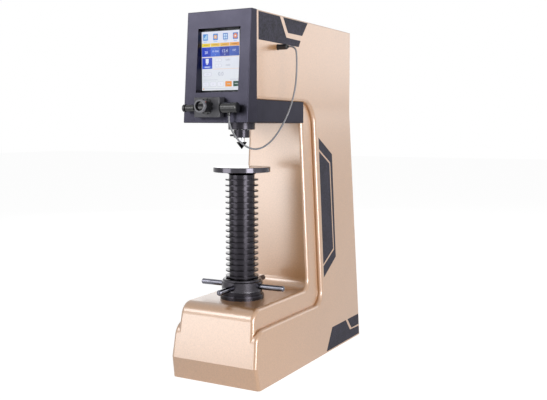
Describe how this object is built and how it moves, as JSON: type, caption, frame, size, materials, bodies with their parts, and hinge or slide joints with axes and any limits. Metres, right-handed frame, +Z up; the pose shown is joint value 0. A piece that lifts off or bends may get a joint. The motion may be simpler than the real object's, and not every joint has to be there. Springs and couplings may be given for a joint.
{
  "type": "hardness tester",
  "caption": "Bench hardness tester with a C-shaped casting, touch screen, indenter, screw-raised anvil with capstan rods, and a measuring eyepiece.",
  "frame": {"origin": "on the bench, under the middle of the machine's length (eyepiece included) and width", "axes": "+X to the operator's right, -Y towards the operator, +Z up along the spindle and the elevating screw"},
  "size_m": [0.2249, 0.5432, 0.75],
  "materials": {
    "casting_paint": "satin champagne metallic paint",
    "dark_paint": "satin dark grey paint",
    "inlay_film": "fine grained dark grey film",
    "rear_paint": "satin champagne paint",
    "zinc_screw": "zinc plated",
    "black_steel": "blackened, ground",
    "bright_steel": "ground",
    "polished_steel": "polished",
    "bearing_steel": "ground",
    "bush_bronze": "bored bronze",
    "cone_steel": "blackened",
    "cell_alloy": "milled",
    "plate_alloy": "milled",
    "belt_rubber": "moulded",
    "pad_rubber": "moulded",
    "motor_black": "black paint",
    "eyepiece_grey": "satin grey anodised look",
    "eyepiece_black": "satin black",
    "clear_glass": "clear",
    "cover_glass": "clear, flat",
    "screen_white": "lit display",
    "cable_grey": "light grey jacket",
    "plug_black": "moulded",
    "board_green": "solder mask",
    "supply_zinc": "folded sheet",
    "switch_black": "moulded",
    "pin_brass": "plated"
  },
  "bodies": {
    "frame": {"housing": "casting_paint", "rubber_pads": "pad_rubber", "side_inlays_left": "inlay_film", "side_inlays_right": "inlay_film", "rear_cover": "rear_paint", "rear_cover_screws": "zinc_screw", "front_bezel": "dark_paint", "screen_glass": "cover_glass", "screen_panel": "screen_white", "head_casing": "dark_paint", "guide_flange": "black_steel", "guide_key": "bright_steel", "thrust_bearing": "bearing_steel", "nose_ring": "black_steel", "spindle_bush": "bush_bronze", "guide_rods": "polished_steel", "screw_bearing": "bearing_steel", "drive_plate": "plate_alloy", "drive_belt": "belt_rubber", "drive_motor": "motor_black", "eyepiece_block": "eyepiece_grey", "eyepiece_barrel": "eyepiece_black", "drum_body": "eyepiece_black", "cable_gland": "eyepiece_black", "signal_cable": "cable_grey", "cable_plug": "plug_black", "plug_socket": "plug_black", "control_board": "board_green", "board_spacers": "supply_zinc", "power_supply": "supply_zinc", "mains_inlet": "plug_black", "inlet_pins": "pin_brass", "power_switch": "switch_black"},
    "capstan": {"capstan_hub": "black_steel", "capstan_rods": "polished_steel"},
    "screw": {"elevating_screw": "black_steel", "anvil": "black_steel"},
    "spindle": {"spindle": "bright_steel", "indenter_chuck": "black_steel", "clamp_screw": "black_steel", "indenter_shank": "bright_steel", "indenter_cone": "cone_steel", "load_cell": "cell_alloy", "crosshead": "bright_steel", "ball_nut": "bearing_steel"},
    "drive_screw": {"ball_screw": "bright_steel", "screw_pulley": "plate_alloy"},
    "motor_rotor": {"motor_pulley": "plate_alloy"},
    "ocular": {"ocular_ring": "eyepiece_black", "eye_lens": "clear_glass"},
    "zero_knob": {"zero_knob": "eyepiece_black"},
    "zero_plate": {"zero_line_plate": "clear_glass"},
    "drum_cap": {"drum_cap": "eyepiece_black"},
    "measuring_plate": {"measuring_line_plate": "clear_glass"},
    "rocker": {"power_rocker": "switch_black"}
  },
  "joints": [
    {"name": "screw_lift", "type": "slide", "parent": "frame", "child": "screw", "axis": [0, 0, 1], "range_m": [-0.11, 0.03]},
    {"name": "capstan_turn", "type": "hinge", "parent": "frame", "child": "capstan", "pos_m": [0, -0.12805, 0.186], "axis": [0, 0, 1], "range_deg": [-901, 3301]},
    {"name": "spindle_press", "type": "slide", "parent": "frame", "child": "spindle", "axis": [0, 0, 1], "range_m": [-0.005, 0]},
    {"name": "drive_screw_turn", "type": "hinge", "parent": "frame", "child": "drive_screw", "pos_m": [0, -0.12805, 0.7], "axis": [0, 0, 1], "range_deg": [-1, 451]},
    {"name": "motor_turn", "type": "hinge", "parent": "frame", "child": "motor_rotor", "pos_m": [0, -0.03165, 0.7], "axis": [0, 0, 1], "range_deg": [-1, 1171]},
    {"name": "ocular_focus", "type": "hinge", "parent": "frame", "child": "ocular", "pos_m": [-0.009, -0.26665, 0.561], "axis": [0, 1, 0], "range_deg": [-150, 150]},
    {"name": "zero_knob_turn", "type": "hinge", "parent": "frame", "child": "zero_knob", "pos_m": [0, -0.24165, 0.558], "axis": [1, 0, 0], "range_deg": [-2160, 2160]},
    {"name": "zero_plate_shift", "type": "slide", "parent": "frame", "child": "zero_plate", "axis": [1, 0, 0], "range_m": [-0.00301, 0.00301]},
    {"name": "drum_turn", "type": "hinge", "parent": "frame", "child": "drum_cap", "pos_m": [0, -0.24165, 0.558], "axis": [1, 0, 0], "range_deg": [-2160, 2160]},
    {"name": "measuring_plate_shift", "type": "slide", "parent": "frame", "child": "measuring_plate", "axis": [1, 0, 0], "range_m": [-0.00301, 0.00301]},
    {"name": "power_rock", "type": "hinge", "parent": "frame", "child": "rocker", "pos_m": [0.03, 0.26828, 0.15], "axis": [1, 0, 0], "range_deg": [0, 20]}
  ],
  "couplings": [
    {"joint": "capstan_turn", "follows": "screw_lift", "rad_per_m": -523.6},
    {"joint": "drive_screw_turn", "follows": "spindle_press", "rad_per_m": -1570.8},
    {"joint": "motor_turn", "follows": "spindle_press", "rad_per_m": -4084.1},
    {"joint": "zero_plate_shift", "follows": "zero_knob_turn", "m_per_rad": 0.000079577},
    {"joint": "measuring_plate_shift", "follows": "drum_turn", "m_per_rad": 0.000079577}
  ]
}
